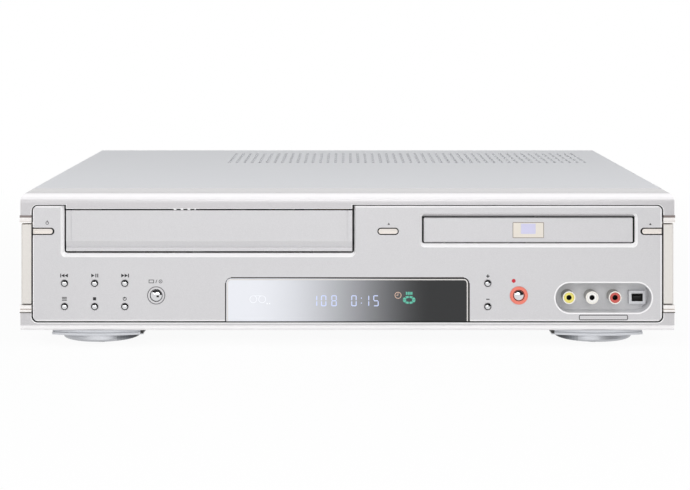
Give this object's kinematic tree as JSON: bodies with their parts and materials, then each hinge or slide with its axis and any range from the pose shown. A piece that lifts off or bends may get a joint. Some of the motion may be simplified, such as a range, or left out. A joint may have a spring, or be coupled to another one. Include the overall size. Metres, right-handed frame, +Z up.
{
  "type": "disc and cassette recorder",
  "caption": "Silver disc recorder and cassette deck in one flat case, with a hinged cassette flap, a sliding disc tray and sprung keys.",
  "frame": {"origin": "middle of the footprint, on the plane that the feet stand on", "axes": "+Z up, the front faces -Y, +X to the right as seen from the front"},
  "size_m": [0.4308, 0.3584, 0.1022],
  "materials": {
    "cover_paint": "fine-textured silver-grey paint",
    "zinc_steel": "zinc-plated sheet",
    "silver_frame": "satin silver-painted ABS",
    "silver_panel": "satin silver-painted ABS",
    "pillar_cream": "pale cream lacquer",
    "collar_cream": "cream lacquer with dark edge lines",
    "window_dark": "smoked acrylic",
    "chrome_key": "vacuum-plated ABS",
    "salmon_ring": "translucent salmon ring",
    "jack_metal": "nickel-plated",
    "jack_yellow": "moulded",
    "jack_white": "moulded",
    "jack_red": "moulded",
    "black_plastic": "moulded black",
    "board_green": "solder mask",
    "board_tan": "paper laminate",
    "screw_steel": "zinc-plated",
    "foot_grey": "silver-grey moulded",
    "foot_metal": "spun metal bowl",
    "rubber": "moulded rubber",
    "acetal": "natural acetal",
    "machined": "turned aluminium",
    "motor_can": "plated can"
  },
  "bodies": {
    "root": {"bottom_chassis": "zinc_steel", "top_cover": "cover_paint", "rear_panel": "zinc_steel", "case_screws": "screw_steel", "front_frame": "silver_frame", "front_panel": "silver_panel", "side_pillars": "pillar_cream", "pillar_collars": "collar_cream", "display_window": "window_dark", "control_board": "board_green", "jack_bay": "silver_panel", "jack_barrels": "jack_metal", "video_jack_insert": "jack_yellow", "left_jack_insert": "jack_white", "right_jack_insert": "jack_red", "dv_socket": "black_plastic", "record_ring": "salmon_ring", "front_feet": "foot_grey", "foot_bowls": "foot_metal", "rubber_feet": "rubber", "loader_chassis": "black_plastic", "loading_motor": "motor_can", "loading_belt": "rubber", "deck_plate": "zinc_steel", "lower_drum": "machined", "main_board": "board_green", "power_board": "board_tan", "rear_sockets": "black_plastic", "mains_inlet": "black_plastic"},
    "standby_button": {"standby_button": "pillar_cream"},
    "eject_button": {"eject_button": "pillar_cream"},
    "open_close_button": {"open_close_button": "pillar_cream"},
    "rewind_button": {"rewind_button": "chrome_key"},
    "play_button": {"play_button": "chrome_key"},
    "forward_button": {"forward_button": "chrome_key"},
    "disc_menu_button": {"disc_menu_button": "chrome_key"},
    "stop_button": {"stop_button": "chrome_key"},
    "rec_speed_button": {"rec_speed_button": "chrome_key"},
    "select_button": {"select_button": "chrome_key"},
    "channel_up_button": {"channel_up_button": "chrome_key"},
    "channel_down_button": {"channel_down_button": "chrome_key"},
    "record_button": {"record_button": "chrome_key"},
    "tray": {"disc_tray": "black_plastic", "tray_front": "silver_panel"},
    "flap": {"cassette_flap": "silver_panel"},
    "puck": {"clamp_puck": "black_plastic"},
    "drive_base": {"pickup_base": "zinc_steel"},
    "sled": {"pickup_sled": "black_plastic"},
    "turntable": {"disc_turntable": "black_plastic"},
    "motor_pulley": {"motor_pulley": "acetal"},
    "pulley_gear": {"pulley_gear": "acetal"},
    "drive_gear": {"drive_gear": "acetal"},
    "head_drum": {"head_drum": "machined"},
    "supply_reel": {"supply_reel": "acetal"},
    "takeup_reel": {"takeup_reel": "acetal"},
    "capstan": {"capstan": "machined"},
    "pinch_arm": {"pinch_arm": "zinc_steel"},
    "pinch_roller": {"pinch_roller": "rubber"},
    "slider": {"carriage_slider": "zinc_steel"},
    "holder": {"cassette_holder": "zinc_steel"}
  },
  "joints": [
    {"name": "standby_press", "type": "slide", "parent": "root", "child": "standby_button", "axis": [0, 1, 0], "range_m": [0, 0.001], "stiffness_N_per_m": 600, "springref_m": -0.0004},
    {"name": "eject_press", "type": "slide", "parent": "root", "child": "eject_button", "axis": [0, 1, 0], "range_m": [0, 0.001], "stiffness_N_per_m": 600, "springref_m": -0.0004},
    {"name": "open_close_press", "type": "slide", "parent": "root", "child": "open_close_button", "axis": [0, 1, 0], "range_m": [0, 0.001], "stiffness_N_per_m": 600, "springref_m": -0.0004},
    {"name": "rewind_press", "type": "slide", "parent": "root", "child": "rewind_button", "axis": [0, 1, 0], "range_m": [0, 0.001], "stiffness_N_per_m": 600, "springref_m": -0.0004},
    {"name": "play_press", "type": "slide", "parent": "root", "child": "play_button", "axis": [0, 1, 0], "range_m": [0, 0.001], "stiffness_N_per_m": 600, "springref_m": -0.0004},
    {"name": "forward_press", "type": "slide", "parent": "root", "child": "forward_button", "axis": [0, 1, 0], "range_m": [0, 0.001], "stiffness_N_per_m": 600, "springref_m": -0.0004},
    {"name": "disc_menu_press", "type": "slide", "parent": "root", "child": "disc_menu_button", "axis": [0, 1, 0], "range_m": [0, 0.001], "stiffness_N_per_m": 600, "springref_m": -0.0004},
    {"name": "stop_press", "type": "slide", "parent": "root", "child": "stop_button", "axis": [0, 1, 0], "range_m": [0, 0.001], "stiffness_N_per_m": 600, "springref_m": -0.0004},
    {"name": "rec_speed_press", "type": "slide", "parent": "root", "child": "rec_speed_button", "axis": [0, 1, 0], "range_m": [0, 0.001], "stiffness_N_per_m": 600, "springref_m": -0.0004},
    {"name": "select_press", "type": "slide", "parent": "root", "child": "select_button", "axis": [0, 1, 0], "range_m": [0, 0.001], "stiffness_N_per_m": 600, "springref_m": -0.0004},
    {"name": "channel_up_press", "type": "slide", "parent": "root", "child": "channel_up_button", "axis": [0, 1, 0], "range_m": [0, 0.001], "stiffness_N_per_m": 600, "springref_m": -0.0004},
    {"name": "channel_down_press", "type": "slide", "parent": "root", "child": "channel_down_button", "axis": [0, 1, 0], "range_m": [0, 0.001], "stiffness_N_per_m": 600, "springref_m": -0.0004},
    {"name": "record_press", "type": "slide", "parent": "root", "child": "record_button", "axis": [0, 1, 0], "range_m": [0, 0.001], "stiffness_N_per_m": 600, "springref_m": -0.0004},
    {"name": "flap_hinge", "type": "hinge", "parent": "root", "child": "flap", "pos_m": [-0.09095, -0.1726, 0.095], "axis": [1, 0, 0], "range_deg": [0, 88], "stiffness_Nm_per_rad": 0.004, "springref_deg": -17.19},
    {"name": "tray_slide", "type": "slide", "parent": "root", "child": "tray", "axis": [0, -1, 0], "range_m": [0, 0.14]},
    {"name": "drive_gear_turn", "type": "hinge", "parent": "root", "child": "drive_gear", "pos_m": [0.07605, -0.1548, 0.0723], "axis": [0, 0, 1], "range_deg": [-5, 642]},
    {"name": "pulley_gear_turn", "type": "hinge", "parent": "root", "child": "pulley_gear", "pos_m": [0.09605, -0.1548, 0.0723], "axis": [0, 0, 1], "range_deg": [-1497, 5]},
    {"name": "motor_pulley_turn", "type": "hinge", "parent": "root", "child": "motor_pulley", "pos_m": [0.06705, -0.1168, 0.0623], "axis": [0, 0, 1], "range_deg": [-4492, 5]},
    {"name": "puck_spin", "type": "hinge", "parent": "root", "child": "puck", "pos_m": [0.11905, -0.1051, 0.0873], "axis": [0, 0, 1], "continuous": true},
    {"name": "drive_lift", "type": "hinge", "parent": "root", "child": "drive_base", "pos_m": [0.11905, -0.0341, 0.0623], "axis": [-1, 0, 0], "range_deg": [0, 9]},
    {"name": "sled_travel", "type": "slide", "parent": "drive_base", "child": "sled", "axis": [0, 0.9877, 0.1564], "range_m": [0, 0.02]},
    {"name": "turntable_spin", "type": "hinge", "parent": "drive_base", "child": "turntable", "pos_m": [0.11905, -0.10423, 0.05119], "axis": [0, -0.1564, 0.9877], "continuous": true},
    {"name": "carriage_travel", "type": "slide", "parent": "root", "child": "slider", "axis": [0, 1, 0], "range_m": [0, 0.04]},
    {"name": "holder_lower", "type": "slide", "parent": "slider", "child": "holder", "axis": [0, 0, -1], "range_m": [0, 0.013]},
    {"name": "head_drum_spin", "type": "hinge", "parent": "root", "child": "head_drum", "pos_m": [-0.09095, 0.04166, 0.0358], "axis": [0.0872, 0, 0.9962], "continuous": true},
    {"name": "supply_spin", "type": "hinge", "parent": "root", "child": "supply_reel", "pos_m": [-0.13695, -0.04734, 0.0398], "axis": [0, 0, 1], "continuous": true},
    {"name": "takeup_spin", "type": "hinge", "parent": "root", "child": "takeup_reel", "pos_m": [-0.04495, -0.04734, 0.0398], "axis": [0, 0, 1], "continuous": true},
    {"name": "capstan_spin", "type": "hinge", "parent": "root", "child": "capstan", "pos_m": [-0.03095, 0.00866, 0.0358], "axis": [0, 0, 1], "continuous": true},
    {"name": "pinch_swing", "type": "hinge", "parent": "root", "child": "pinch_arm", "pos_m": [-0.00995, 0.02066, 0.0438], "axis": [0, 0, 1], "range_deg": [0, 7]},
    {"name": "roller_spin", "type": "hinge", "parent": "pinch_arm", "child": "pinch_roller", "pos_m": [-0.03095, 0.02066, 0.0498], "axis": [0, 0, 1], "continuous": true}
  ],
  "couplings": [
    {"joint": "drive_gear_turn", "follows": "tray_slide", "rad_per_m": 71.429},
    {"joint": "pulley_gear_turn", "follows": "tray_slide", "rad_per_m": -166.67},
    {"joint": "motor_pulley_turn", "follows": "tray_slide", "rad_per_m": -500}
  ]
}
